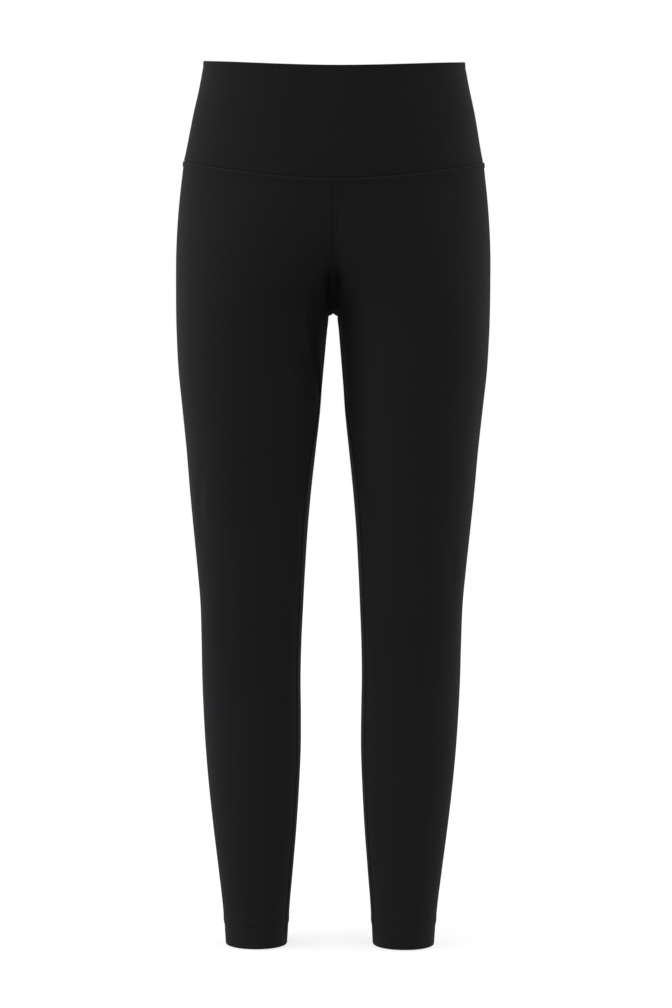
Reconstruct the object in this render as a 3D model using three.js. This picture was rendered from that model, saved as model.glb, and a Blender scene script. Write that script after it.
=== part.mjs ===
// High-waisted leggings in the round shape that they take when worn, in four cut pieces: a front and a
// back waistband of doubled cloth, and one panel for each leg. A leg panel wraps from the centre front
// round the side to the centre back, and below the crotch its two edges meet at the inseam.
// Millimetres, +Z up, the front towards -Y, the wearer's left at +X. The origin is the centre of the
// waist opening, level with the top edge at the sides.

import * as THREE from "three";

// Driving sizes
const OUTSEAM = 988; // the top edge at the side, down to the hem
const CROTCH_DROP = 279; // the top edge at the side, down to the lowest point of the crotch seam
const WAISTBAND_SIDE_DEPTH = 111;
const CLOTH = 1.2; // one layer of knitted cloth
const DOUBLE_CLOTH = 2.4; // the folded waistband, and the turned-up hem
const SEAM_GAP = 0.3; // between two pieces, or two edges of one piece, that are sewn together

// The top edge and the waistband seam, over the front half and the back half: dip is how far the centre
// lies below the side, and turn shapes the way there. A negative dip rises.
const TOP_EDGE = [{ dip: 23, turn: 0.1 }, { dip: -10, turn: -1 }];
const WAIST_SEAM = [{ dip: 35, turn: 0.5 }, { dip: -8.5, turn: -1 }];

// The roll that the seam allowance raises beside each seam
const ROLL_WIDTH = 5.6;
const WAIST_ROLL_HEIGHT = 1.1;
const INSEAM_ROLL_HEIGHT = 0.8;
const RISE_ROLL_HEIGHT = 0.3;

const HEM_DEPTH = 20;
const HEM_PINCH = 0.7; // how far the hem's stitches draw the cloth in
const FOLD_RISE = 1.1; // the folded top edge is rounded over this height

// Level sections, from above the waist to the hem. outer is the distance from the middle plane to the side,
// gap from the middle plane to the inner leg. front and back are depths from the side line's plane. frontX
// and backX say how far from the middle the section is deepest, and square is its superellipse power.
const SECTIONS = [
  { z: 30, outer: 142.5, gap: 5, front: 93, back: 84, frontX: 0, backX: 0, square: 2.25 },
  { z: 0, outer: 145.4, gap: 5, front: 96, back: 89, frontX: 0, backX: 0, square: 2.25 },
  { z: -30, outer: 150.6, gap: 5, front: 99.5, back: 95, frontX: 0, backX: 0, square: 2.25 },
  { z: -60, outer: 157.2, gap: 5, front: 103, back: 101, frontX: 0, backX: 0, square: 2.25 },
  { z: -106, outer: 166, gap: 5, front: 106.5, back: 112, frontX: 0, backX: 0, square: 2.25 },
  { z: -112, outer: 167.4, gap: 5, front: 107, back: 113.5, frontX: 0, backX: 0, square: 2.25 },
  { z: -130, outer: 169.8, gap: 5, front: 107.5, back: 118, frontX: 0, backX: 0, square: 2.25 },
  { z: -150, outer: 172.2, gap: 5, front: 107, back: 122.5, frontX: 4, backX: 6, square: 2.25 },
  { z: -180, outer: 174.9, gap: 5, front: 105, back: 128, frontX: 24, backX: 30, square: 2.25 },
  { z: -215, outer: 176.6, gap: 5, front: 101.5, back: 131, frontX: 50, backX: 55, square: 2.25 },
  { z: -245, outer: 176.8, gap: 5, front: 97.5, back: 129.5, frontX: 70, backX: 70, square: 2.2 },
  { z: -281, outer: 176.3, gap: 5.2, front: 92.5, back: 121, frontX: 84, backX: 81, square: 2.2 },
  { z: -300, outer: 175.6, gap: 7.3, front: 90.5, back: 114, frontX: 88, backX: 85, square: 2.2 },
  { z: -345, outer: 172.9, gap: 10.9, front: 87, back: 99, frontX: 91, backX: 89, square: 2.15 },
  { z: -390, outer: 168, gap: 13.8, front: 83, back: 90, frontX: 92, backX: 90, square: 2.15 },
  { z: -435, outer: 163.1, gap: 18.6, front: 79, back: 82, frontX: 92, backX: 91, square: 2.15 },
  { z: -480, outer: 159.1, gap: 23.4, front: 74, back: 74, frontX: 92, backX: 91, square: 2.15 },
  { z: -525, outer: 154.5, gap: 27.2, front: 69, back: 65.5, frontX: 91, backX: 91, square: 2.15 },
  { z: -570, outer: 149.7, gap: 29.8, front: 65, back: 57, frontX: 90, backX: 90, square: 2.2 },
  { z: -605, outer: 146.6, gap: 31.5, front: 61.5, back: 54, frontX: 89, backX: 90, square: 2.2 },
  { z: -650, outer: 145.4, gap: 33.5, front: 54.5, back: 59, frontX: 87, backX: 91, square: 2.15 },
  { z: -690, outer: 144.8, gap: 34.3, front: 49.5, back: 65, frontX: 86, backX: 91, square: 2.1 },
  { z: -730, outer: 143.2, gap: 33.8, front: 46, back: 68, frontX: 85, backX: 90, square: 2.1 },
  { z: -770, outer: 140.7, gap: 33.8, front: 43, back: 66, frontX: 84, backX: 88, square: 2.1 },
  { z: -815, outer: 136.5, gap: 35.6, front: 40, back: 60, frontX: 83, backX: 86, square: 2.1 },
  { z: -860, outer: 131.2, gap: 38.3, front: 37, back: 53, frontX: 83, backX: 84, square: 2.1 },
  { z: -905, outer: 125.4, gap: 41.9, front: 34, back: 47.5, frontX: 82.5, backX: 83, square: 2.1 },
  { z: -950, outer: 120, gap: 45.6, front: 32, back: 45.5, frontX: 82.3, backX: 82.5, square: 2.1 },
  { z: -965, outer: 118.9, gap: 46.3, front: 31.7, back: 45.2, frontX: 82.2, backX: 82.3, square: 2.1 },
  { z: -990, outer: 117.2, gap: 47.7, front: 31.5, back: 45, frontX: 82.2, backX: 82.3, square: 2.1 },
];
const FIELDS = ["outer", "gap", "front", "back", "frontX", "backX", "square"];

// Where the legs part
const SPREAD = 1.4; // above the crotch, the legs' own rounds cross the middle plane by this much a millimetre
const ARCH = 5; // the gap between the legs opens from nothing to its full width over this depth
const SEAT_FULLNESS = 0.3; // extra squareness behind the crotch, which keeps the seat seam full
const SEAT_FADE = 100; // it fades out over this depth below the crotch
const INSEAM_FORWARD = 0.42; // radians that the inseam lies in front of the innermost point
const INSEAM_DRIFT = 200; // it gets there over this depth below the crotch

const heights = new THREE.CubicInterpolant(
  SECTIONS.map((row) => -row.z),
  SECTIONS.flatMap((row) => FIELDS.map((field) => row[field])),
  FIELDS.length,
);

const clamp01 = (value) => THREE.MathUtils.clamp(value, 0, 1);
const lerp = THREE.MathUtils.lerp;

// The section at a height, as named sizes
function sectionAt(z) {
  const values = heights.evaluate(-z);
  const s = Object.fromEntries(FIELDS.map((field, k) => [field, values[k]]));
  const belowCrotch = -CROTCH_DROP - z;
  const arch = Math.sqrt(1 - (1 - clamp01(belowCrotch / ARCH)) ** 2);
  s.inner = belowCrotch < 0 ? SPREAD * belowCrotch : s.gap * arch;
  s.middleY = (s.back - s.front) / 2;
  s.seatSquare = s.square + SEAT_FULLNESS * (1 - THREE.MathUtils.smoothstep(belowCrotch, 0, SEAT_FADE));
  s.forward = INSEAM_FORWARD * THREE.MathUtils.smoothstep(belowCrotch, 0, INSEAM_DRIFT);
  s.joined = belowCrotch >= 0;
  return s;
}

// One quarter of a section, from angle a0 to angle a1, where angle 0 is its deepest point, at tipX
function quarter(tipX, edgeX, middleY, tipY, power, a0, a1) {
  const STEPS = 36;
  return Array.from({ length: STEPS + 1 }, (_, k) => {
    const a = lerp(a0, a1, k / STEPS);
    return new THREE.Vector2(
      tipX + (edgeX - tipX) * Math.abs(Math.sin(a)) ** (2 / power),
      middleY + (tipY - middleY) * Math.abs(Math.cos(a)) ** (2 / power),
    );
  });
}

// The angle at which a quarter is cut by the middle plane
const cutAngle = (tipX, inner, power) => Math.asin(clamp01(tipX / (tipX - inner)) ** (power / 2));

const RIGHT_ANGLE = Math.PI / 2;
const withoutRepeats = (points) => points.filter((p, k) => k === 0 || p.distanceTo(points[k - 1]) > 0.001);

// The two halves of a level section, as paths: front edge to side, and side to back edge
const paths = new Map();
function pathsAt(z) {
  const key = z.toFixed(3);
  if (paths.has(key)) return paths.get(key);
  const s = sectionAt(z);
  const start = s.joined ? RIGHT_ANGLE - s.forward : cutAngle(s.frontX, s.inner, s.square);
  const end = s.joined ? RIGHT_ANGLE : cutAngle(s.backX, s.inner, s.seatSquare);
  const front = [
    ...quarter(s.frontX, s.inner, s.middleY, -s.front, s.square, start, 0),
    ...quarter(s.frontX, s.outer, s.middleY, -s.front, s.square, 0, RIGHT_ANGLE),
  ];
  const back = [
    ...quarter(s.backX, s.outer, s.middleY, s.back, s.square, RIGHT_ANGLE, 0),
    ...quarter(s.backX, s.inner, s.middleY, s.back, s.seatSquare, 0, end),
  ];
  if (s.forward > 0)
    back.push(...quarter(s.frontX, s.inner, s.middleY, -s.front, s.square, RIGHT_ANGLE, start));
  const made = [front, back].map((points) => new THREE.Path(withoutRepeats(points)));
  paths.set(key, made);
  return made;
}

// A point of the cloth's outer face: half is 0 from the front edge to the side and 1 from the side to
// the back edge, and share runs along that half. x keeps half the seam gap from the middle plane.
function clothPoint(z, half, share) {
  const p = pathsAt(z)[half].getPoint(clamp01(share));
  return new THREE.Vector3(Math.max(p.x, SEAM_GAP / 2), p.y, z);
}

// sideward is 0 at the centre front or back, and 1 at the side.
const dip = (edge, sideward) => edge.dip * (1 - (1 + edge.turn) * sideward ** 2 + edge.turn * sideward ** 4);
const topHeight = (half, sideward) => -dip(TOP_EDGE[half], sideward);
const seamHeight = (half, sideward) => -WAISTBAND_SIDE_DEPTH - dip(WAIST_SEAM[half], sideward);

// The outward direction at each point of a net of points, columns[i][j], whose rows run down. The top and
// bottom edges take it level, so that two pieces face each other squarely, and squareEnds does the same at
// side seams. wraps says which rows close on themselves.
function outwards(columns, wraps, squareEnds) {
  const last = columns.length - 1;
  return columns.map((column, i) =>
    column.map((_, j) => {
      const [before, after] = wraps(j) && (i === 0 || i === last) ? [last - 1, 1] : [i - 1, i + 1];
      const along = columns[Math.min(after, last)][j].clone().sub(columns[Math.max(before, 0)][j]);
      const down = column[Math.min(j + 1, column.length - 1)].clone().sub(column[Math.max(j - 1, 0)]);
      const out = down.cross(along);
      if (j === 0 || j === column.length - 1) out.z = 0;
      if (squareEnds && (i === 0 || i === last)) out.y = 0;
      return out.normalize();
    }),
  );
}

// A closed wall of cloth over a net of points. relief raises the outer face, and the inner face lies
// thickness below the net. nearest is the least x of either face. crest, where given, is how far the top
// edge's rounded fold rises.
function clothWall(columns, options) {
  const { wraps = () => false, relief = () => 0, thickness, crest = 0, squareEnds = false } = options;
  const { nearest = -Infinity } = options;
  const out = outwards(columns, wraps, squareEnds);
  const rows = columns[0].length;
  const loops = columns.map((column, i) => {
    const outer = column.map((p, j) => p.clone().addScaledVector(out[i][j], relief(i, j)));
    const inner = column.map((p, j) => p.clone().addScaledVector(out[i][j], -thickness(j)));
    const loop = [...outer, ...inner.reverse()];
    for (const p of loop) p.x = Math.max(p.x, nearest);
    if (crest) loop.push(outer[0].clone().lerp(loop[2 * rows - 1], 0.5).add(new THREE.Vector3(0, 0, crest)));
    return loop;
  });
  const around = loops[0].length;
  const points = loops.flat();
  const index = [];
  const face = (a, b, c, d) => {
    const isShorter = points[a].distanceTo(points[c]) <= points[b].distanceTo(points[d]);
    index.push(...(isShorter ? [a, b, c, a, c, d] : [a, b, d, b, c, d]));
  };
  for (let i = 0; i + 1 < loops.length; i++)
    for (let j = 0; j < around; j++) {
      const below = (j + 1) % around;
      face(i * around + j, i * around + below, (i + 1) * around + below, (i + 1) * around + j);
    }
  const inside = (j) => 2 * rows - 1 - j;
  const end = (loops.length - 1) * around;
  for (let j = 0; j + 1 < rows; j++) {
    face(j, inside(j), inside(j + 1), j + 1);
    face(end + j, end + j + 1, end + inside(j + 1), end + inside(j));
  }
  if (crest) {
    index.push(0, around - 1, inside(0));
    index.push(end, end + inside(0), end + around - 1);
  }
  const geometry = new THREE.BufferGeometry().setFromPoints(points);
  geometry.setIndex(index);
  geometry.computeVertexNormals();
  return geometry;
}

const cloth = new THREE.MeshStandardMaterial({ color: 0x1d1d1f, roughness: 0.75, metalness: 0 });
const doubledCloth = new THREE.MeshStandardMaterial({ color: 0x1c1c1e, roughness: 0.72, metalness: 0 });

function piece(name, geometry, material) {
  const mesh = new THREE.Mesh(geometry, material);
  mesh.name = name;
  return mesh;
}

// Columns lie at the same places on the waistband and on the legs, so that their edges follow each other.
// The two nearest a centre seam lie on its roll. The others are spread evenly over a length averaged from
// the heights nearby, so that they run straight down past the crotch, and those near the edge follow it.
const HALF_COLUMNS = 18;
const EASED_OVER = [-48, -36, -24, -12, 0, 12, 24, 36, 48];
const FOLLOWING = 4; // a higher power leaves fewer columns to follow the edge

const easedLengths = new Map();
function easedLength(z, half) {
  const key = half + z.toFixed(3);
  if (!easedLengths.has(key)) {
    const nearby = EASED_OVER.map((up) => pathsAt(Math.min(z + up, 0))[half].getLength());
    easedLengths.set(key, nearby.reduce((sum, length) => sum + length) / nearby.length);
  }
  return easedLengths.get(key);
}

// How far column k from the centre lies from it, as a share of the half's length: 1 at the side
function columnShare(k, z, half) {
  const length = pathsAt(z)[half].getLength();
  const roll = ROLL_WIDTH / 2;
  if (k <= 2) return Math.max(k * roll, SEAM_GAP / 2) / length;
  const fromSide = (HALF_COLUMNS - k) / (HALF_COLUMNS - 2);
  const eased = easedLength(z, half) - 2 * roll;
  const change = length - 2 * roll - eased;
  return 1 - (fromSide * eased + fromSide ** FOLLOWING * change) / length;
}

// The share on the waistband's seam, which sets the edges' heights
const sidewardOf = (k, half) => columnShare(k, -WAISTBAND_SIDE_DEPTH, half);

// A waistband piece: half the way round, from side seam to side seam. half is 0 for the front, 1 for the back.
function waistband(half) {
  const ROWS = 8;
  const columns = Array.from({ length: 2 * HALF_COLUMNS + 1 }, (_, i) => {
    const k = Math.abs(i - HALF_COLUMNS);
    const sideward = sidewardOf(k, half);
    const low = seamHeight(half, sideward) + SEAM_GAP;
    const high = topHeight(half, sideward) - FOLD_RISE;
    return Array.from({ length: ROWS + 1 }, (_, j) => {
      const z = lerp(high, low, j / ROWS);
      const share = Math.min(columnShare(k, z, half), 1 - SEAM_GAP / 2 / pathsAt(z)[half].getLength());
      const p = clothPoint(z, half, half ? 1 - share : share);
      if (k === 0) p.x = 0;
      const leftward = half ? i < HALF_COLUMNS : i > HALF_COLUMNS;
      if (!leftward) p.x = -p.x;
      return p;
    });
  });
  return clothWall(columns, { thickness: () => DOUBLE_CLOTH, crest: FOLD_RISE, squareEnds: true });
}

// The rows of a leg panel: three for the roll under the waistband seam, some that level out, and the rest
// level. At the front and back edges they crowd where the crotch curve turns, and at the side they are even.
const ROLL_ROWS = 3;
const LEVELLING_SHARES = [0.25, 0.6];
const ABOVE_CROTCH = [104, 79, 57, 38, 24, 14, 7, 3, 0.8, 0, -1, -3.5, -9, -21, -43, -74];
const TURN_HEIGHTS = ABOVE_CROTCH.map((up) => up - CROTCH_DROP);
const LEG_HEIGHTS = [
  -390, -425, -460, -495, -530, -565, -600, -635, -670, -705, -740, -775, -810, -845, -880, -915, -945,
];
const HEM_HEIGHTS = [HEM_DEPTH + 3, HEM_DEPTH, HEM_DEPTH - 4, 0].map((up) => up - OUTSEAM);
const LOWER_HEIGHTS = [...LEG_HEIGHTS, ...HEM_HEIGHTS];
const TURN_TOP = TURN_HEIGHTS[0];
const TURN_BOTTOM = TURN_HEIGHTS.at(-1);

function rowHeight(row, half, sideward) {
  const top = seamHeight(half, sideward);
  if (row < ROLL_ROWS) return top - (row / (ROLL_ROWS - 1)) * ROLL_WIDTH;
  const levelling = LEVELLING_SHARES[row - ROLL_ROWS];
  if (levelling !== undefined) return lerp(top - ROLL_WIDTH, TURN_TOP, levelling);
  const k = row - ROLL_ROWS - LEVELLING_SHARES.length;
  const even = lerp(TURN_TOP, TURN_BOTTOM, k / (TURN_HEIGHTS.length - 1));
  const evenness = THREE.MathUtils.smoothstep(sideward, 0.02, 0.5);
  if (k < TURN_HEIGHTS.length) return lerp(TURN_HEIGHTS[k], even, evenness);
  return LOWER_HEIGHTS[k - TURN_HEIGHTS.length];
}

// A leg panel. Its columns run down the leg, the outermost ones on each side over the roll of the rise
// seam and the inseam.
function legPanel() {
  const rowCount = ROLL_ROWS + LEVELLING_SHARES.length + TURN_HEIGHTS.length + LOWER_HEIGHTS.length;
  const columns = Array.from({ length: 2 * HALF_COLUMNS + 1 }, (_, i) => {
    const half = i > HALF_COLUMNS ? 1 : 0;
    const k = half ? 2 * HALF_COLUMNS - i : i;
    return Array.from({ length: rowCount }, (_, j) => {
      const z = rowHeight(j, half, sidewardOf(k, half));
      const share = columnShare(k, z, half);
      return clothPoint(z, half, half ? 1 - share : share);
    });
  });
  const last = columns.length - 1;
  const isJoined = (j) => columns[0][j].z < -CROTCH_DROP;
  const isHem = (j) => columns[0][j].z <= HEM_DEPTH - OUTSEAM;
  const isPinched = (j) => columns[0][j].z === HEM_DEPTH - OUTSEAM;
  const relief = (i, j) => {
    const seam = i === 1 || i === last - 1 ? (isJoined(j) ? INSEAM_ROLL_HEIGHT : RISE_ROLL_HEIGHT) : 0;
    const waist = j === 1 ? WAIST_ROLL_HEIGHT : 0;
    return Math.max(seam, waist) - (isPinched(j) ? HEM_PINCH : 0);
  };
  const thickness = (j) => (isHem(j) ? DOUBLE_CLOTH : CLOTH);
  return clothWall(columns, { wraps: isJoined, relief, thickness, nearest: SEAM_GAP / 2 });
}

const leggings = new THREE.Group();
leggings.add(piece("waistband_front", waistband(0), doubledCloth));
leggings.add(piece("waistband_back", waistband(1), doubledCloth));
const legGeometry = legPanel();
const legLeft = piece("leg_left", legGeometry, cloth);
const legRight = piece("leg_right", legGeometry, cloth);
legRight.scale.x = -1;
leggings.add(legLeft, legRight);

export default leggings;
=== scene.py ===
"""Black high-waisted leggings, filled out as worn, on a plain white studio floor."""

import math

import bmesh
import bpy
import numpy as np
from mathutils import Matrix, Vector


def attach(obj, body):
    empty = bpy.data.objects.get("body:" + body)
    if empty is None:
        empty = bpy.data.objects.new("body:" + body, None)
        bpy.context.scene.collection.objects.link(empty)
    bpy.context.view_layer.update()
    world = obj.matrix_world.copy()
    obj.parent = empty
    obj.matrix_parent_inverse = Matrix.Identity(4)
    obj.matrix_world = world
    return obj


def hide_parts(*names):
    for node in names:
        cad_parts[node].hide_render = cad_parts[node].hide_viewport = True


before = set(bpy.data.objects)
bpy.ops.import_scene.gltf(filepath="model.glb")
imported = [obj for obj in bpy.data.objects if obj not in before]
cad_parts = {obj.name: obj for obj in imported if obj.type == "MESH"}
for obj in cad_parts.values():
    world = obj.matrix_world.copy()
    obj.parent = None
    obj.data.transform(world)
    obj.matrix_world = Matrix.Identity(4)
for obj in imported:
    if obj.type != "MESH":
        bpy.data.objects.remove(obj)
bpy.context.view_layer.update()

# The leg panels. Each leg is one piece of black brushed stretch knit that wraps round from the centre
# front to the centre back. Its edges are sewn together down the inseam, and its hem is turned up inside.
# All sizes in this file are millimetres in the frame of the solids, until a point becomes a vertex.
MM = 0.001
CROTCH = -279.0
HEM = -988.0
WAIST_SEAM_SIDE = -111.0
SEAM_GAP = 0.1
CLOTH = 1.15

# The same level sections as the solids have: half widths out and in, depths to the front and back of the
# side line's plane, where across the leg it is deepest, and its superellipse power
COLUMN_NAMES = ("outer", "gap", "front", "back", "front_x", "back_x", "square")
SECTIONS = {
    30: (142.5, 5, 93, 84, 0, 0, 2.25),
    0: (145.4, 5, 96, 89, 0, 0, 2.25),
    -30: (150.6, 5, 99.5, 95, 0, 0, 2.25),
    -60: (157.2, 5, 103, 101, 0, 0, 2.25),
    -106: (166, 5, 106.5, 112, 0, 0, 2.25),
    -112: (167.4, 5, 107, 113.5, 0, 0, 2.25),
    -130: (169.8, 5, 107.5, 118, 0, 0, 2.25),
    -150: (172.2, 5, 107, 122.5, 4, 6, 2.25),
    -180: (174.9, 5, 105, 128, 24, 30, 2.25),
    -215: (176.6, 5, 101.5, 131, 50, 55, 2.25),
    -245: (176.8, 5, 97.5, 129.5, 70, 70, 2.2),
    -281: (176.3, 5.2, 92.5, 121, 84, 81, 2.2),
    -300: (175.6, 7.3, 90.5, 114, 88, 85, 2.2),
    -345: (172.9, 10.9, 87, 99, 91, 89, 2.15),
    -390: (168, 13.8, 83, 90, 92, 90, 2.15),
    -435: (163.1, 18.6, 79, 82, 92, 91, 2.15),
    -480: (159.1, 23.4, 74, 74, 92, 91, 2.15),
    -525: (154.5, 27.2, 69, 65.5, 91, 91, 2.15),
    -570: (149.7, 29.8, 65, 57, 90, 90, 2.2),
    -605: (146.6, 31.5, 61.5, 54, 89, 90, 2.2),
    -650: (145.4, 33.5, 54.5, 59, 87, 91, 2.15),
    -690: (144.8, 34.3, 49.5, 65, 86, 91, 2.1),
    -730: (143.2, 33.8, 46, 68, 85, 90, 2.1),
    -770: (140.7, 33.8, 43, 66, 84, 88, 2.1),
    -815: (136.5, 35.6, 40, 60, 83, 86, 2.1),
    -860: (131.2, 38.3, 37, 53, 83, 84, 2.1),
    -905: (125.4, 41.9, 34, 47.5, 82.5, 83, 2.1),
    -950: (120, 45.6, 32, 45.5, 82.3, 82.5, 2.1),
    -965: (118.9, 46.3, 31.7, 45.2, 82.2, 82.3, 2.1),
    -990: (117.2, 47.7, 31.5, 45, 82.2, 82.3, 2.1),
}
SPREAD = 1.4
CROTCH_SPREAD = 0.5
CROTCH_EASE = 12.0
ARCH = 5.0
ARCH_REACH = 5.5
SEAT_FULLNESS = 0.3
SEAT_FADE = 100.0
INSEAM_FORWARD = 0.42
INSEAM_DRIFT = 200.0
QUARTER_POINTS = 37


def smooth(value, low, high):
    """0 below low, 1 above high, and a smooth step between them."""
    t = np.clip((value - low) / (high - low), 0, 1)
    return t * t * (3 - 2 * t)


def sizes_at(z):
    """The section table at one height, on smooth curves through its rows."""
    heights = np.array(sorted(SECTIONS))
    values = np.array([SECTIONS[h] for h in heights], float)
    secants = np.diff(values, axis=0) / np.diff(heights)[:, None]
    slopes = np.vstack([secants[:1], (secants[1:] + secants[:-1]) / 2, secants[-1:]])
    k = int(np.clip(np.searchsorted(heights, z, side="right") - 1, 0, len(heights) - 2))
    step = heights[k + 1] - heights[k]
    t = (z - heights[k]) / step
    start, leave = 2 * t**3 - 3 * t**2 + 1, t**3 - 2 * t**2 + t
    end, arrive = -2 * t**3 + 3 * t**2, t**3 - t**2
    row = start * values[k] + leave * step * slopes[k] + end * values[k + 1] + arrive * step * slopes[k + 1]
    return dict(zip(COLUMN_NAMES, row))


def quarter(tip_x, edge_x, middle_y, tip_y, power, first, last):
    """A quarter of a section between two angles, where angle 0 is its deepest point."""
    angle = np.linspace(first, last, QUARTER_POINTS)
    x = tip_x + (edge_x - tip_x) * np.abs(np.sin(angle)) ** (2 / power)
    y = middle_y + (tip_y - middle_y) * np.abs(np.cos(angle)) ** (2 / power)
    return np.column_stack([x, y])


def cut_angle(tip_x, inner, power):
    """Where a quarter reaches the plane between the legs."""
    return math.asin(min(max(tip_x / (tip_x - inner), 0), 1) ** (power / 2))


def half_outlines(z):
    """The two halves of a level section: front edge to side, and side to back edge."""
    s = sizes_at(z)
    below = CROTCH - z
    if below < 0:
        inner = CROTCH_SPREAD * below - (SPREAD - CROTCH_SPREAD) * below**2 / (CROTCH_EASE - below)
    else:
        inner = s["gap"] * (1 - math.exp(-CROTCH_SPREAD * below / s["gap"]))
    middle = (s["back"] - s["front"]) / 2
    seat_square = s["square"] + SEAT_FULLNESS * (1 - float(smooth(below, 0, SEAT_FADE)))
    forward = INSEAM_FORWARD * float(smooth(below, 0, INSEAM_DRIFT))
    right_angle = math.pi / 2
    first, last = right_angle - forward, right_angle
    if below < 0:
        first = cut_angle(s["front_x"], inner, s["square"])
        last = cut_angle(s["back_x"], inner, seat_square)
    front = [
        quarter(s["front_x"], inner, middle, -s["front"], s["square"], first, 0),
        quarter(s["front_x"], s["outer"], middle, -s["front"], s["square"], 0, right_angle),
    ]
    back = [
        quarter(s["back_x"], s["outer"], middle, s["back"], s["square"], right_angle, 0),
        quarter(s["back_x"], inner, middle, s["back"], seat_square, 0, last),
    ]
    if forward > 0:
        back.append(quarter(s["front_x"], inner, middle, -s["front"], s["square"], right_angle, first))
    halves = np.vstack(front), np.vstack(back)
    if below >= 0:
        # Between the legs the cloth arches up to the middle, close to its inner edge only
        arch = s["gap"] * math.sqrt(1 - (1 - min(below / ARCH, 1)) ** 2)
        for points in halves:
            points[:, 0] += (arch - inner) * np.exp(-(((points[:, 0] - inner) / ARCH_REACH) ** 2))
    return halves


# The face is worked out once, a level a millimetre and finer at the crotch, and read from these tables after
LEVELS = np.concatenate([np.arange(14, -274, -1.0), np.arange(-274, -286, -0.1), np.arange(-286, -991, -1.0)])
SHARES = np.linspace(0, 1, 241)
outlines = np.zeros((2, len(LEVELS), len(SHARES), 2))
lengths = np.zeros((2, len(LEVELS)))
for row, level in enumerate(LEVELS):
    for half, points in enumerate(half_outlines(level)):
        along = np.concatenate([[0], np.cumsum(np.hypot(*np.diff(points, axis=0).T))])
        lengths[half, row] = along[-1]
        for axis in (0, 1):
            outlines[half, row, :, axis] = np.interp(SHARES * along[-1], along, points[:, axis])
EASED_OVER = np.linspace(-48, 48, 9)
eased_lengths = np.array(
    [[np.interp(-(level + EASED_OVER), -LEVELS, lengths[half]).mean() for level in LEVELS] for half in (0, 1)]
)


def length_at(z, half, table=lengths):
    """How long each half outline is at the heights z. half is 0 for the front and 1 for the back."""
    return np.where(half == 0, np.interp(-z, -LEVELS, table[0]), np.interp(-z, -LEVELS, table[1]))


def on_form(z, half, share):
    """Points of the cloth's face: share runs along a half outline, from the front edge backwards."""
    row = np.interp(-z, -LEVELS, np.arange(len(LEVELS)))
    upper = np.minimum(row.astype(int), len(LEVELS) - 2)
    step = np.clip(share, 0, 1) * (len(SHARES) - 1)
    left = np.minimum(step.astype(int), len(SHARES) - 2)
    down, across = (row - upper)[..., None], (step - left)[..., None]
    top = outlines[half, upper, left] * (1 - across) + outlines[half, upper, left + 1] * across
    bottom = outlines[half, upper + 1, left] * (1 - across) + outlines[half, upper + 1, left + 1] * across
    xy = top * (1 - down) + bottom * down
    return np.stack([np.maximum(xy[..., 0], SEAM_GAP / 2), xy[..., 1], z], axis=-1)


def dip(edge, sideward):
    """How far an edge lies below its height at the side. sideward is 0 at the centre and 1 at the side."""
    depth, turn = edge
    return depth * (1 - (1 + turn) * sideward**2 + turn * sideward**4)


# The dip of the waistband seam and its turn, at the front and at the back, where it rises
WAIST_SEAM = np.array([(35, 0.5), (-8.5, -1)])


def seam_height(half, sideward):
    return WAIST_SEAM_SIDE - dip(np.moveaxis(WAIST_SEAM[half], -1, 0), sideward)


def outwards(points, closes):
    """The outward direction at each point of a net. closes says which rows' two edges meet."""
    diagonal = points[1:, 1:] - points[:-1, :-1]
    other = points[:-1, 1:] - points[1:, :-1]
    faces = np.cross(other, diagonal)
    total = np.zeros_like(points)
    for across in (slice(None, -1), slice(1, None)):
        for down in (slice(None, -1), slice(1, None)):
            total[across, down] += faces
    seam = total[0] + total[-1]
    total[0][closes], total[-1][closes] = seam[closes], seam[closes]
    return total / np.linalg.norm(total, axis=-1, keepdims=True)


# How the cloth lies: soft hollows where it slackens, a row each. round is the distance from the side line,
# forwards below zero. slant turns the length from upright towards the back, in degrees. Each hollow bends
# a little along its length, and its floor is flatter than its sides.
FOLD_NAMES = ("leg", "round", "z", "long", "wide", "deep", "slant")
FOLDS = [
    # from the crotch, at the front
    ("right", -216, -250, 26, 4.5, 1.5, 2),
    ("right", -227, -320, 48, 5.5, 8.5, 9),
    ("right", -238, -226, 20, 4.5, 0.7, 24),
    ("left", -222, -258, 22, 4.5, 1.0, -7),
    ("left", -204, -306, 30, 6.0, 0.7, -12),
    ("both", -243, -206, 24, 5.5, 0.4, 30),
    # down the outside and the front of the legs
    ("right", -49, -490, 38, 8.0, 1.5, -14),
    ("right", -64, -640, 50, 11.0, 0.8, 9),
    ("left", -36, -388, 20, 6.5, 1.1, -10),
    ("left", -50, -568, 26, 7.0, 1.2, -13),
    ("left", -96, -706, 58, 12.0, 0.6, -5),
    # under the seat
    ("left", 150, -318, 48, 8.0, 2.4, 76),
    ("right", 146, -326, 52, 8.5, 2.2, 78),
    ("both", 178, -349, 28, 6.0, 1.4, 66),
    ("left", 120, -352, 24, 5.0, 0.8, 82),
    # behind the knee, where a leg bends
    ("both", 84, -588, 30, 5.0, 1.9, 84),
    ("left", 104, -612, 36, 6.0, 2.5, 97),
    ("right", 92, -606, 40, 5.5, 2.3, 92),
    ("left", 68, -640, 28, 5.0, 1.5, 101),
    ("right", 112, -634, 30, 5.5, 1.8, 82),
    ("right", 60, -569, 22, 4.5, 1.0, 76),
    # slack over the ankle
    ("left", -36, -934, 18, 4.5, 0.7, 86),
    ("right", 26, -928, 22, 5.0, 0.8, 94),
    ("both", 60, -912, 20, 5.0, 1.1, 88),
    ("left", 84, -894, 18, 4.5, 0.8, 99),
    ("right", -62, -921, 16, 4.5, 0.5, 82),
]
FOLD_BEND = 0.004
FOLD_FLOOR = 0.35


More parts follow.
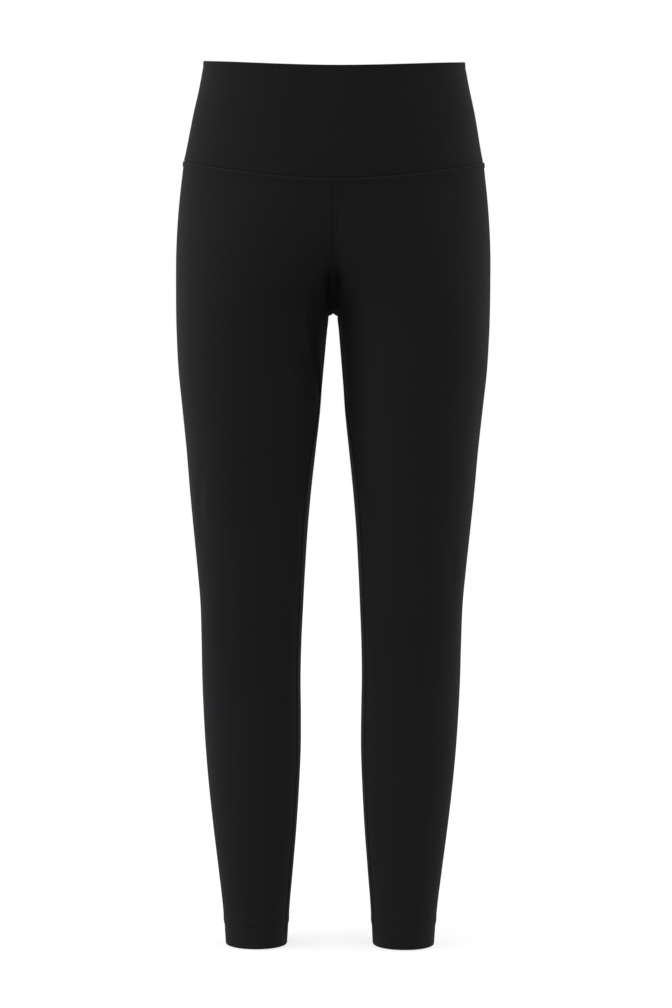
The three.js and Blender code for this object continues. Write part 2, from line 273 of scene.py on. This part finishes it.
def folds_on(leg, around, z):
    """How far the folds of this leg lie below the smooth face."""
    depth = np.zeros_like(z)
    for row in FOLDS:
        fold = dict(zip(FOLD_NAMES, row))
        if fold["leg"] not in ("both", leg):
            continue
        slant = math.radians(fold["slant"])
        back, up = around - fold["round"], z - fold["z"]
        along = up * math.cos(slant) + back * math.sin(slant)
        across = back * math.cos(slant) - up * math.sin(slant) + FOLD_BEND * along**2
        hollow = np.exp(-((across / fold["wide"]) ** 2))
        hollow = hollow - FOLD_FLOOR * np.exp(-((across / fold["wide"] / 2) ** 2))
        depth += fold["deep"] * hollow * np.exp(-((along / fold["long"]) ** 2))
    return depth


# Columns: their distances from a sewn edge, then an even spread to the side line. Rows: distances below
# the waistband seam, then heights down the leg, and heights above the hem
EDGE_STEPS = np.array([SEAM_GAP / 2, 0.4, 0.9, 1.4, 2, 2.7, 3.4, 4.1, 4.8, 5.4, 6, 6.8, 7.8, 9, 10.5, 12.5])
SPREAD_COLUMNS = 47
WAIST_STEPS = np.array([0, 0.3, 0.6, 1, 1.5, 2.1, 2.8, 3.5, 4.2, 4.8, 5.3, 5.8, 6.3, 7, 8, 9.5])
LEVELLING_ROWS = 14
TURN_TOP, TURN_BOTTOM = -175.0, -353.0
ROWS_ABOVE_CROTCH, ROWS_BELOW_CROTCH = 36, 26
LEG_ROWS = 172
HEM_TOP = -956.0
HEM_FOLD = 1.15
HEM_STEPS = np.array(
    [30, 28, 26.5, 25.4, 24.6, 24, 23.5, 23, 22.3, 21.5, 20.7, 20.1, 19.5, 18.9, 18, 16.5, 14, 11, 8, 5.5]
    + [3.8, 2.6, 1.8, HEM_FOLD]
)
TURNED_UP = 18.5
# Under the waistband the top edge turns in, this deep
ALLOWANCE_STEPS = np.array([0.7, 1.6, 2.8])
# At the rise the right leg's allowance laps under the left leg: how deep, and how far across
LAPPED_STEPS = {
    "left": np.array([(0.5, 0), (1.0, 0), (1.4, 0)]),
    "right": np.array([(0.7, 0), (1.5, 0.1), (2.3, 0.8), (2.6, 2), (2.7, 4.5)]),
}
# Needle rows, as distances below the waistband seam and above the hem
NEEDLE_ROWS_WAIST = (1.5, 5.8)
NEEDLE_ROWS_HEM = (23.5, 19.5)
# The rolls that allowances raise beside the seams: heights, and widths for the rise and the inseam
WAIST_ROLL = 1.0
RISE_ROLL = {"left": (0.6, 3.4), "right": (0.3, 1.4)}
INSEAM_ROLL = 4.8
INSEAM_ROLL_FRONT, INSEAM_ROLL_BACK = 0.25, 0.8
INSEAM_ROLL_BEGINS = (-30, 25)
ROLL_FLATTENS_ABOVE_HEM = (4, 20)
PINCH, PINCH_WIDE = 0.12, 0.8
CURL, CURL_WIDE = 0.2, 0.45
PUCKER = 0.09
# The hem swells above its needle rows, is pressed in along them and steps in below them
HEM_SWELL, HEM_SWELL_ABOVE, HEM_SWELL_WIDE = 0.3, 6, 3.2
HEM_PRESSED, HEM_PRESSED_WIDE = 0.5, 2.6
HEM_STEP, HEM_STEP_OVER = 0.45, 3
# Above the crotch the front is drawn in at the rise, with a deeper pleat on each side of it. Each begins and
# ends over a range of distances below the top edge
DRAWN_IN, DRAWN_IN_REACH = 4.0, 8
DRAWN_IN_BEGINS = (222, 262)
DRAWN_IN_TURNS = (22, 52)
PLEAT = {"left": 12.0, "right": 15.0}
PLEAT_PLACE = 6.8
PLEAT_REACH = 4.8
PLEAT_BEGINS = (234, 258)
PLEAT_ENDS = (272, 300)


def leg_net():
    """The heights, halves and shares of a leg panel's net, as arrays by column and row."""
    half_count = len(EDGE_STEPS) - 1 + SPREAD_COLUMNS
    place = np.arange(2 * half_count + 1)
    half = (place > half_count).astype(int)[:, None]
    k = np.where(place > half_count, 2 * half_count - place, place)[:, None]
    edge = EDGE_STEPS[np.minimum(k, len(EDGE_STEPS) - 1)]
    from_side = (half_count - k) / SPREAD_COLUMNS

    def share_from_centre(z):
        length = length_at(z, half)
        eased = length_at(z, half, eased_lengths) - EDGE_STEPS[-1]
        change = length - EDGE_STEPS[-1] - eased
        spread = length - from_side * eased - from_side**4 * change
        return np.where(k < len(EDGE_STEPS), edge, spread) / length

    top = seam_height(half[:, 0], share_from_centre(np.full_like(k, WAIST_SEAM_SIDE, float))[:, 0])[:, None]
    for _ in range(3):
        sideward = share_from_centre(top)
        top = seam_height(half[:, 0], sideward[:, 0])[:, None]
    levelling = np.arange(1, LEVELLING_ROWS) / LEVELLING_ROWS
    waist = top - WAIST_STEPS
    level = waist[:, -1:] + (TURN_TOP - waist[:, -1:]) * levelling
    above = CROTCH + (TURN_TOP - CROTCH) * np.linspace(1, 0, ROWS_ABOVE_CROTCH + 1) ** 2
    below = CROTCH + (TURN_BOTTOM - CROTCH) * np.linspace(0, 1, ROWS_BELOW_CROTCH + 1)[1:] ** 2
    crowded = np.concatenate([above, below])
    even = np.linspace(TURN_TOP, TURN_BOTTOM, len(crowded))
    evenness = smooth(sideward, 0.02, 0.5)
    turn = crowded * (1 - evenness) + even * evenness
    leg = np.linspace(TURN_BOTTOM, HEM_TOP, LEG_ROWS + 1)[1:]
    lower = np.concatenate([leg, HEM + HEM_STEPS])
    z = np.concatenate([waist, level, turn, np.broadcast_to(lower, (len(place), len(lower)))], axis=1)
    share = share_from_centre(z)
    halves = np.broadcast_to(half, z.shape)
    return z, halves, np.where(halves == 1, 1 - share, share)


def seam_roll(distance, width, height):
    """The ridge that seam allowances raise beside a seam, with its far edge drawn in by the needle."""
    rise = smooth(distance, 0, 1.1) * (1 - smooth(distance, width - 0.9, width + 1.2))
    pinch = PINCH * np.exp(-(((distance - width) / PINCH_WIDE) ** 2))
    curl = CURL * np.exp(-((distance / CURL_WIDE) ** 2))
    return height * (rise - pinch) - curl


def puckers(along, away, reach, seed):
    """The small gathers that stitching draws up beside a seam."""
    swell = 0.6 + 0.4 * np.sin(along / 23.0 + 2 * seed)
    wave = np.sin(along / 1.43 + 1.7 * np.sin(along / 9.1 + seed)) * swell
    return PUCKER * wave * np.exp(-np.abs(away) / reach)


def lay_leg(leg):
    """Works out one leg's cloth: its face as a net of points, its outward directions and its relief."""
    z, half, share = leg_net()
    face = on_form(z, half, share)
    joined = z < CROTCH
    out = outwards(face, joined[0])
    length = length_at(z, half)
    from_edge = np.where(half == 1, 1 - share, share) * length
    around = np.where(half == 1, share, share - 1) * length
    below_seam = z[:, :1] - z
    above_hem = z - HEM
    inseam = smooth(CROTCH - z, *INSEAM_ROLL_BEGINS)
    rise_height, rise_width = RISE_ROLL[leg]
    foot = smooth(above_hem, *ROLL_FLATTENS_ABOVE_HEM)
    inseam_height = np.where(half == 1, INSEAM_ROLL_BACK, INSEAM_ROLL_FRONT)
    roll_height = (rise_height + (inseam_height - rise_height) * inseam) * foot
    roll_width = np.where(half == 1, rise_width + (INSEAM_ROLL - rise_width) * inseam, rise_width)
    relief = seam_roll(from_edge, roll_width, roll_height) * smooth(np.abs(z - CROTCH), 0, 9)
    relief = relief + seam_roll(below_seam, NEEDLE_ROWS_WAIST[1], WAIST_ROLL)
    hem_line = sum(NEEDLE_ROWS_HEM) / 2
    relief += HEM_SWELL * np.exp(-(((above_hem - hem_line - HEM_SWELL_ABOVE) / HEM_SWELL_WIDE) ** 2))
    relief -= HEM_PRESSED * np.exp(-(((above_hem - hem_line) / HEM_PRESSED_WIDE) ** 2))
    relief -= HEM_STEP * smooth(hem_line - above_hem, 0, HEM_STEP_OVER)
    seed = 1.0 if leg == "left" else 2.3
    relief += puckers(around, above_hem - hem_line, 3.5, seed)
    relief += puckers(around, below_seam - NEEDLE_ROWS_WAIST[1], 4.0, seed + 1)
    relief += puckers(z, from_edge - roll_width, 3.5, seed + 2)
    relief -= folds_on(leg, around, z)
    # At the front, round the crotch, the cloth is drawn in
    edge_y = face[:1, :, 1]
    drawn_in = DRAWN_IN * smooth(-z, *DRAWN_IN_BEGINS) * smooth(-edge_y, *DRAWN_IN_TURNS)
    drawn_in = np.where(joined, 0, drawn_in * np.exp(-from_edge / DRAWN_IN_REACH))
    past_edge = face[..., 0] - face[:1, :, 0]
    pleat = PLEAT[leg] * smooth(-z, *PLEAT_BEGINS) * (1 - smooth(-z, *PLEAT_ENDS)) * smooth(from_edge, 0, 6)
    pleat = pleat * np.exp(-(((past_edge - PLEAT_PLACE) / PLEAT_REACH) ** 4))
    face[..., 1] += np.where(half == 1, 0, drawn_in + pleat)
    # Above the crotch the relief must not part the two legs, so the rise is drawn back to the middle
    opened = np.where(joined, 0, (out * relief[..., None])[..., 0])
    drawn = [opened[column] * np.exp(-((from_edge - EDGE_STEPS[0]) / 4) ** 2) for column in (0, -1)]
    face[..., 0] -= np.where(half == 1, drawn[1], drawn[0])
    return {"face": face, "out": out, "relief": relief, "z": z, "from_side": around}


def sew_in(lay, columns, rows, inward, lift, reading, relief_share=1):
    """Picks columns and rows of a laid cloth, moved inwards and lifted, with the coordinates of its weave."""
    pick = np.ix_(columns, rows)
    points = lay["face"][pick] + lay["out"][pick] * (lay["relief"][pick] * relief_share - inward)[..., None]
    points[..., 2] += lift
    weave = np.stack([lay["from_side"][pick], reading], axis=-1)
    return points, weave


def cloth_mesh(name, points, weave):
    """A grid of cloth, its vertices moved to a net of points, with a UV map of the weave in metres."""
    across, down = points.shape[:2]
    bm = bmesh.new()
    bmesh.ops.create_grid(bm, x_segments=across - 1, y_segments=down - 1, size=0.5)
    layer = bm.loops.layers.uv.new("weave")
    place = {}
    for v in bm.verts:
        i, j = round((v.co.x + 0.5) * (across - 1)), round((0.5 - v.co.y) * (down - 1))
        place[v] = (i, j)
    for v, (i, j) in place.items():
        v.co = points[i, j] * MM
    for f in bm.faces:
        f.smooth = True
        for corner in f.loops:
            corner[layer].uv = weave[place[corner.vert]] * MM
    mesh = bpy.data.meshes.new(name)
    bm.to_mesh(mesh)
    bm.free()
    piece = bpy.data.objects.new(name, mesh)
    bpy.context.scene.collection.objects.link(piece)
    wall = piece.modifiers.new("wall", "SOLIDIFY")
    wall.thickness = CLOTH * MM
    wall.offset = -1
    return piece


def make_leg(leg, name):
    """A leg panel with its seam allowances turned in and its hem folded up inside."""
    lay = lay_leg(leg)
    across, down = lay["z"].shape
    tucked = ALLOWANCE_STEPS[::-1]
    lapped = LAPPED_STEPS[leg]
    last = np.full(len(lapped), across - 1)
    columns = np.concatenate([np.zeros(len(lapped), int), np.arange(across), last])
    column_inward = np.concatenate([lapped[::-1, 0], np.zeros(across), lapped[:, 0]])
    column_across = np.concatenate([lapped[::-1, 1], np.zeros(across), lapped[:, 1]])
    bottom = down - 1
    fold = np.linspace(0, math.pi, 8)[1:-1]
    inside = [row for row in range(bottom, 0, -1) if lay["z"][0, row] - HEM <= TURNED_UP]
    rows = np.concatenate([np.zeros(len(tucked), int), np.arange(down), np.full(len(fold), bottom), inside])
    row_inward = np.concatenate(
        [tucked, np.zeros(down), HEM_FOLD * (1 - np.cos(fold)), np.full(len(inside), 2 * HEM_FOLD)]
    )
    lift = np.concatenate([0 * tucked, np.zeros(down), -HEM_FOLD * np.sin(fold), np.zeros(len(inside))])
    turned = np.concatenate([np.zeros(len(tucked) + down, bool), np.ones(len(fold) + len(inside), bool)])
    z = lay["z"][np.ix_(columns, rows)]
    reading = np.where(turned, 2 * HEM - z, z)
    # At the crotch itself the allowances run out, where they would show below the arch. Below it none laps
    kept = np.maximum(smooth(np.abs(z - CROTCH), 1.2, 4), 0.03)
    kept *= np.where(z < CROTCH, LAPPED_STEPS["left"][-1, 0] / lapped[-1, 0], 1)
    points, weave = sew_in(lay, columns, rows, column_inward[:, None] * kept + row_inward, lift, reading)
    points[..., 0] = np.maximum(points[..., 0], SEAM_GAP / 2)
    points[..., 0] -= np.where(turned, 0, column_across[:, None] * smooth(z - CROTCH, 0.5, 6))
    if leg == "right":
        mirror = np.array([-1, 1, 1])
        points, weave = points[::-1] * mirror, weave[::-1] * mirror[:2]
    return cloth_mesh(name, points, weave), lay


leg_left, lay_left = make_leg("left", "leg_left_cloth")
leg_right, lay_right = make_leg("right", "leg_right_cloth")


# One knitted cloth serves every panel: black nylon with elastane, its face lightly brushed. The stitches are
# 0.55 mm wide, in upright chains, under a short nap that catches light at a grazing angle.
WALE = 0.55
COURSE = 0.42
CLOUD_SCALE, FIBRE_SCALE, NAP_SCALE = 14, 420, 2600


def math_node(tree, operation, *values):
    node = tree.nodes.new("ShaderNodeMath")
    node.operation = operation
    for socket, value in zip(node.inputs, values):
        if isinstance(value, bpy.types.NodeSocket):
            tree.links.new(value, socket)
        else:
            socket.default_value = value
    return node.outputs[0]


def noise_node(tree, vector, scale, detail):
    node = tree.nodes.new("ShaderNodeTexNoise")
    node.inputs["Scale"].default_value = scale
    node.inputs["Detail"].default_value = detail
    tree.links.new(vector, node.inputs["Vector"])
    return node.outputs["Fac"]


def colour_ramp(tree, factor, low, high):
    node = tree.nodes.new("ShaderNodeMix")
    node.data_type = "RGBA"
    tree.links.new(factor, node.inputs["Factor"])
    node.inputs["A"].default_value = (*low, 1)
    node.inputs["B"].default_value = (*high, 1)
    return node.outputs["Result"]


def black_knit(name, dark, light):
    material = bpy.data.materials.new(name)
    material.use_nodes = True
    tree = material.node_tree
    shader = tree.nodes["Principled BSDF"]
    weave = tree.nodes.new("ShaderNodeUVMap")
    weave.uv_map = "weave"
    split = tree.nodes.new("ShaderNodeSeparateXYZ")
    tree.links.new(weave.outputs["UV"], split.inputs["Vector"])
    place = tree.nodes.new("ShaderNodeTexCoord").outputs["Object"]

    wales = math_node(tree, "MULTIPLY", split.outputs["X"], 1 / (WALE * MM))
    from_wale = math_node(tree, "ABSOLUTE", math_node(tree, "SUBTRACT", math_node(tree, "FRACT", wales), 0.5))
    courses = math_node(tree, "MULTIPLY", split.outputs["Y"], 1 / (COURSE * MM))
    slanted = math_node(tree, "MULTIPLY_ADD", from_wale, 1.1, courses)
    leg_of_stitch = math_node(tree, "SINE", math_node(tree, "MULTIPLY", slanted, 2 * math.pi))
    chain = math_node(tree, "SINE", math_node(tree, "MULTIPLY", from_wale, 2 * math.pi))
    stitches = math_node(tree, "MULTIPLY_ADD", leg_of_stitch, 0.35, chain)
    nap = noise_node(tree, place, NAP_SCALE, 2)
    surface = math_node(tree, "MULTIPLY_ADD", nap, 1.6, stitches)
    bump = tree.nodes.new("ShaderNodeBump")
    bump.inputs["Strength"].default_value = 0.5
    bump.inputs["Distance"].default_value = 0.00006
    tree.links.new(surface, bump.inputs["Height"])
    tree.links.new(bump.outputs["Normal"], shader.inputs["Normal"])

    clouds = noise_node(tree, place, CLOUD_SCALE, 3)
    fibres = noise_node(tree, place, FIBRE_SCALE, 3)
    tone = math_node(tree, "MULTIPLY_ADD", fibres, 0.45, math_node(tree, "MULTIPLY", clouds, 0.55))
    tree.links.new(colour_ramp(tree, tone, dark, light), shader.inputs["Base Color"])
    tree.links.new(math_node(tree, "MULTIPLY_ADD", clouds, 0.16, 0.7), shader.inputs["Roughness"])
    shader.inputs["Specular IOR Level"].default_value = 0.06
    shader.inputs["Sheen Weight"].default_value = 0.04
    shader.inputs["Sheen Roughness"].default_value = 0.45
    shader.inputs["Sheen Tint"].default_value = (0.93, 0.95, 1, 1)
    return material


leg_knit = black_knit("leg_knit", (0.0052, 0.0052, 0.0060), (0.0094, 0.0094, 0.0107))
for cloth, leg_node in ((leg_left, "leg_left"), (leg_right, "leg_right")):
    cloth.data.materials.append(leg_knit)
    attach(cloth, "root")
    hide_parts(leg_node)

# The waistband. Two curved bands of the same knit, front and back, each cut double, folded along the top
# edge and joined at the side seams. The top is a rounded fold with nothing sewn along it.
TOP_EDGE = np.array([(23, 0.1), (-10, -1)])
BAND_FOLD = 1.2
BAND_STEPS = np.array([SEAM_GAP / 2, 0.4, 0.9, 1.4, 2.1, 3.2, 5])
BAND_ENDS = np.array([0.3, 0.6, 0.9])
BAND_SPREAD = 36
BAND_ROWS = 46
BAND_TOP_STEPS = np.array([0, 0.8, 1.6, 2.5, 3.5, 4.5, 5.5, 6.5, 7.5, 9])
BAND_SEAM_STEPS = np.array([9, 7, 5.4, 4.2, 3.2, 2.4, 1.7, 1.1, 0.6, 0.3, 0])
# Under the waistband seam the outer layer turns in: how deep, and how far down
BAND_TUCK = np.array([(0.9, -0.2), (1.35, -1.2), (1.45, -3)])
# Its relief: the fold's swell and the groove below it, the curl into each seam, and the side seams' roll
FOLD_SWELL, FOLD_SWELL_WIDE = 0.5, 3
FOLD_GROOVE, FOLD_GROOVE_BELOW, FOLD_GROOVE_WIDE = 0.15, 6.5, 1.8
BAND_SEAM_CURL, BAND_SEAM_CURL_WIDE = 0.55, 0.5
SIDE_SEAM_CURL, SIDE_SEAM_ROLL = 0.5, 0.25
BAND_RIPPLE = 0.35


def lay_band(half):
    """Works out one band's outer layer, from side seam to side seam, as lay_leg does for a leg."""
    count = len(BAND_STEPS) - 1 + BAND_SPREAD
    place = np.arange(2 * count + 1)
    from_end = np.minimum(place, 2 * count - place)
    leftward = place < count if half else place > count
    end = BAND_STEPS[np.minimum(from_end, len(BAND_STEPS) - 1)]
    length = float(length_at(np.array(WAIST_SEAM_SIDE), np.array(half)))
    towards_centre = (from_end - len(BAND_STEPS) + 1) / BAND_SPREAD
    spread = BAND_STEPS[-1] + towards_centre * (length - BAND_STEPS[-1])
    from_side = np.where(from_end < len(BAND_STEPS), end, spread)
    sideward = 1 - from_side / length
    low = seam_height(np.full(len(place), half), sideward) + SEAM_GAP
    high = -dip(TOP_EDGE[half], sideward) - BAND_FOLD
    top, seam = high[:, None] - BAND_TOP_STEPS, low[:, None] + BAND_SEAM_STEPS
    between = np.linspace(0, 1, BAND_ROWS + 1)[1:-1]
    middle = top[:, -1:] + (seam[:, :1] - top[:, -1:]) * between
    z = np.concatenate([top, middle, seam], axis=1)
    halves = np.full(z.shape, half)
    share = np.broadcast_to(sideward[:, None], z.shape)
    face = on_form(z, halves, 1 - share if half else share)
    face[..., 0] = np.where(place[:, None] == count, 0, face[..., 0]) * np.where(leftward, 1, -1)[:, None]
    out = outwards(face, np.zeros(z.shape[1], bool))
    above_seam, below_top = z - low[:, None], high[:, None] - z
    across = np.where(leftward, 1, -1)[:, None] * share * length
    from_side = from_side[:, None]
    relief = FOLD_SWELL * np.exp(-((below_top / FOLD_SWELL_WIDE) ** 2))
    relief = relief - FOLD_GROOVE * np.exp(-(((below_top - FOLD_GROOVE_BELOW) / FOLD_GROOVE_WIDE) ** 2))
    relief -= BAND_SEAM_CURL * np.exp(-((above_seam / BAND_SEAM_CURL_WIDE) ** 2))
    relief -= SIDE_SEAM_CURL * np.exp(-((from_side / CURL_WIDE) ** 2))
    relief += SIDE_SEAM_ROLL * smooth(from_side, 0.3, 1.2) * (1 - smooth(from_side, 2.4, 5))
    relief += puckers(across, above_seam, 5, 4.1 + half) + puckers(z, from_side, 4, 5.2 + half)
    # The band ripples softly near the sides
    relief += BAND_RIPPLE * np.sin(across / 41 + 1.3 * half) * np.sin(z / 27) * smooth(share, 0.35, 0.9)
    return {"face": face, "out": out, "relief": relief, "z": z, "from_side": across}


def make_band(half, name):
    """A band: up its inner layer, over the fold, down its outer layer and in under the seam."""
    lay = lay_band(half)
    across, down = lay["z"].shape
    columns = np.concatenate([np.zeros(3, int), np.arange(across), np.full(3, across - 1)])
    column_inward = np.concatenate([BAND_ENDS[::-1], np.zeros(across), BAND_ENDS])
    fold = np.linspace(math.pi, 0, 9)[1:-1]
    inside = np.arange(down - 4, -1, -3)
    rows = np.concatenate([inside, np.zeros(len(fold), int), np.arange(down), np.full(3, down - 1)])
    over = BAND_FOLD * (1 - np.cos(fold))
    row_inward = np.concatenate([np.full(len(inside), 2 * BAND_FOLD), over, np.zeros(down), BAND_TUCK[:, 0]])
    lift = np.concatenate([np.zeros(len(inside)), BAND_FOLD * np.sin(fold), np.zeros(down), BAND_TUCK[:, 1]])
    turned = np.concatenate([np.ones(len(inside) + len(fold), bool), np.zeros(down + 3, bool)])
    z = lay["z"][np.ix_(columns, rows)]
    top = lay["z"][columns, 0][:, None]
    reading = np.where(turned, 2 * top - z, z)
    # The inner layer mirrors the relief of the outer one
    layer = np.clip(1 - row_inward / BAND_FOLD, -1, 1)
    inward = column_inward[:, None] * layer + row_inward
    points, weave = sew_in(lay, columns, rows, inward, lift, reading, layer)
    return cloth_mesh(name, points, weave)


band_knit = black_knit("waistband_knit", (0.0054, 0.0054, 0.0062), (0.0090, 0.0090, 0.0103))
for band_half, band_node in enumerate(("waistband_front", "waistband_back")):
    band = make_band(band_half, band_node + "_cloth")
    band.data.materials.append(band_knit)
    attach(band, "root")
    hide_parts(band_node)

# The sewing thread: black polyester, a little glossier than the knit. Two rows of stitches hold down the
# allowances under the waistband, two go round each hem, and one runs along each inseam's roll at the back.
STITCH_PITCH = 2.8
STITCH_LENGTH = 2.35
THREAD = 0.4
STITCH_SUNK = 0.06
STITCH_FLATNESS = 0.8
STITCHES_A_RUN = 40

thread = bpy.data.materials.new("thread")
thread.use_nodes = True
thread_shader = thread.node_tree.nodes["Principled BSDF"]
thread_shader.inputs["Base Color"].default_value = (0.013, 0.013, 0.0145, 1)
thread_shader.inputs["Roughness"].default_value = 0.5
thread_shader.inputs["Specular IOR Level"].default_value = 0.25


def stitch_mesh(seats):
    """A run of stitches, each a small stretched ball of thread at its own seat."""
    bm = bmesh.new()
    for seat in seats:
        bmesh.ops.create_uvsphere(bm, u_segments=6, v_segments=4, radius=THREAD / 2, matrix=seat)
    mesh = bpy.data.meshes.new("stitches")
    bm.to_mesh(mesh)
    bm.free()
    return mesh


def sew(name, rows):
    """Joins rows of stitches into one piece. A row is a path on the cloth and its outward directions."""
    seats = []
    for path, out in rows:
        path = path + out * (THREAD / 2 - STITCH_SUNK)
        along = np.concatenate([[0], np.cumsum(np.linalg.norm(np.diff(path, axis=0), axis=1))])
        count = int(along[-1] / STITCH_PITCH)

        def at(distance, values):
            return Vector([np.interp(distance, along, values[:, axis]) for axis in range(3)])

        for mark in (np.arange(count) + 0.5) * along[-1] / count:
            start, end = at(mark - STITCH_LENGTH / 2, path), at(mark + STITCH_LENGTH / 2, path)
            forward = (end - start).normalized()
            sideways = at(mark, out).cross(forward).normalized()
            turned = Matrix((forward, sideways, forward.cross(sideways))).transposed().to_4x4()
            size = Matrix.Diagonal((STITCH_LENGTH / THREAD, 1, STITCH_FLATNESS, 1))
            seats.append(Matrix.Scale(MM, 4) @ Matrix.Translation(at(mark, path)) @ turned @ size)
    bm = bmesh.new()
    for first in range(0, len(seats), STITCHES_A_RUN):
        run = stitch_mesh(seats[first:first + STITCHES_A_RUN])
        bm.from_mesh(run)
        bpy.data.meshes.remove(run)
    for f in bm.faces:
        f.smooth = True
    mesh = bpy.data.meshes.new(name)
    bm.to_mesh(mesh)
    bm.free()
    mesh.materials.append(thread)
    piece = bpy.data.objects.new(name, mesh)
    bpy.context.scene.collection.objects.link(piece)
    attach(piece, "root")
    return piece


def seam_path(leg, lay, columns, rows):
    """The points and outward directions of part of a leg's net, mirrored for the right leg."""
    points = lay["face"][columns, rows] + lay["out"][columns, rows] * lay["relief"][columns, rows][..., None]
    mirror = np.array([-1 if leg == "right" else 1, 1, 1])
    return points * mirror, lay["out"][columns, rows] * mirror


all_round = slice(None)
for leg, lay in (("left", lay_left), ("right", lay_right)):
    waist_rows = [list(WAIST_STEPS).index(step) for step in NEEDLE_ROWS_WAIST]
    hem_rows = [list(HEM_STEPS).index(step) - len(HEM_STEPS) for step in NEEDLE_ROWS_HEM]
    waist_paths, hem_paths = (
        [seam_path(leg, lay, all_round, row) for row in rows] for rows in (waist_rows, hem_rows)
    )
    beside = -1 - list(EDGE_STEPS).index(INSEAM_ROLL)
    below_crotch = np.flatnonzero((lay["z"][0] < CROTCH - 1) & (lay["z"][0] > HEM + 2))
    inseam_path = seam_path(leg, lay, beside, below_crotch)
    waist_stitches = sew(f"waist_stitches_{leg}", waist_paths)
    sew(f"leg_stitches_{leg}", [*hem_paths, inseam_path])

# The floor is white seamless paper just under the hems. It glows as white as the surroundings, so that no
# horizon shows, and it throws no light of its own on the cloth.
FLOOR_BELOW_HEM = 0.8
floor_bm = bmesh.new()
bmesh.ops.create_grid(floor_bm, x_segments=1, y_segments=1, size=14)
bmesh.ops.translate(floor_bm, verts=floor_bm.verts, vec=(0, 0, (HEM - FLOOR_BELOW_HEM) * MM))
floor_mesh = bpy.data.meshes.new("floor")
floor_bm.to_mesh(floor_mesh)
floor_bm.free()
floor = bpy.data.objects.new("floor", floor_mesh)
bpy.context.scene.collection.objects.link(floor)
paper = bpy.data.materials.new("paper")
paper.use_nodes = True
paper_shader = paper.node_tree.nodes["Principled BSDF"]
paper_shader.inputs["Base Color"].default_value = (0.3, 0.3, 0.3, 1)
paper_shader.inputs["Roughness"].default_value = 0.9
paper_shader.inputs["Specular IOR Level"].default_value = 0
paper_shader.inputs["Emission Color"].default_value = (1, 1, 1, 1)
paper_shader.inputs["Emission Strength"].default_value = 0.74
floor_mesh.materials.append(paper)
floor.visible_diffuse = False
floor.visible_glossy = False

# Soft studio light: the surroundings are white, brighter to the sides, dimmer behind and below, and the
# camera sees them plain white. A broad key stands at the picture's left, a weaker strip at its right, and
# three small lights stand by the feet.
FRONT_GLOW, SIDE_GLOW, REAR_LOSS = 0.84, 0.9, -0.3
LOW_FADE, LOWEST_GLOW = 1.8, 0.2
world = bpy.data.worlds.new("studio")
world.use_nodes = True
studio = world.node_tree
toward = studio.nodes.new("ShaderNodeSeparateXYZ")
studio.links.new(studio.nodes.new("ShaderNodeTexCoord").outputs["Generated"], toward.inputs["Vector"])
sideways = math_node(studio, "MULTIPLY", toward.outputs["X"], toward.outputs["X"])
behind = math_node(studio, "MAXIMUM", toward.outputs["Y"], 0)
sides = math_node(studio, "MULTIPLY_ADD", sideways, SIDE_GLOW, FRONT_GLOW)
level = math_node(studio, "MULTIPLY_ADD", behind, REAR_LOSS, sides)
fading = math_node(studio, "MULTIPLY_ADD", toward.outputs["Z"], LOW_FADE, 1)
below = math_node(studio, "MAXIMUM", fading, LOWEST_GLOW)
glow = math_node(studio, "MULTIPLY", level, math_node(studio, "MINIMUM", below, 1))
seen = studio.nodes.new("ShaderNodeLightPath").outputs["Is Camera Ray"]
studio.links.new(math_node(studio, "MAXIMUM", glow, seen), studio.nodes["Background"].inputs["Strength"])
studio.nodes["Background"].inputs["Color"].default_value = (1, 1, 1, 1)
bpy.context.scene.world = world


def soft_light(name, place, target, size, power):
    data = bpy.data.lights.new(name, "AREA")
    data.shape = "RECTANGLE"
    data.size, data.size_y = size
    data.energy = power
    light = bpy.data.objects.new(name, data)
    light.location = place
    light.rotation_euler = (Vector(target) - Vector(place)).to_track_quat("-Z", "Y").to_euler()
    light.visible_camera = False
    bpy.context.scene.collection.objects.link(light)


soft_light("key", (-2.3, -0.8, 0.1), (0, 0, -0.5), (0.9, 1.8), 24)
soft_light("side", (2.1, -0.5, -0.2), (0, 0, -0.5), (0.6, 1.8), 2)
soft_light("left_foot", (0.95, -0.3, -0.9), (0, 0, -0.85), (0.3, 0.7), 1.6)
soft_light("right_foot", (-0.95, -0.3, -0.9), (0, 0, -0.85), (0.3, 0.7), 1.6)
soft_light("foot", (0, -0.9, -0.95), (0, 0, -0.85), (1.2, 0.3), 2.4)

# The camera stands at the height of the thighs, 2.4 m in front and a little to the wearer's left, and is
# rolled a hair, as in the photograph
CAMERA_DISTANCE = 2400
SENSOR = 36
CAMERA_X, CAMERA_Z = 4.4, -495
CAMERA_ROLL = -0.005
FRAME_MM_A_PIXEL = 1.12
FRAME_PIXELS = 1008
lens = bpy.data.cameras.new("camera")
lens.sensor_fit = "VERTICAL"
lens.sensor_height = SENSOR
lens.lens = SENSOR * CAMERA_DISTANCE / (FRAME_MM_A_PIXEL * FRAME_PIXELS)
camera = bpy.data.objects.new("camera", lens)
camera.location = (CAMERA_X * MM, -CAMERA_DISTANCE * MM, CAMERA_Z * MM)
camera.rotation_euler = (math.pi / 2, CAMERA_ROLL, 0)
bpy.context.scene.collection.objects.link(camera)
bpy.context.scene.camera = camera
bpy.context.scene.view_settings.view_transform = "Standard"
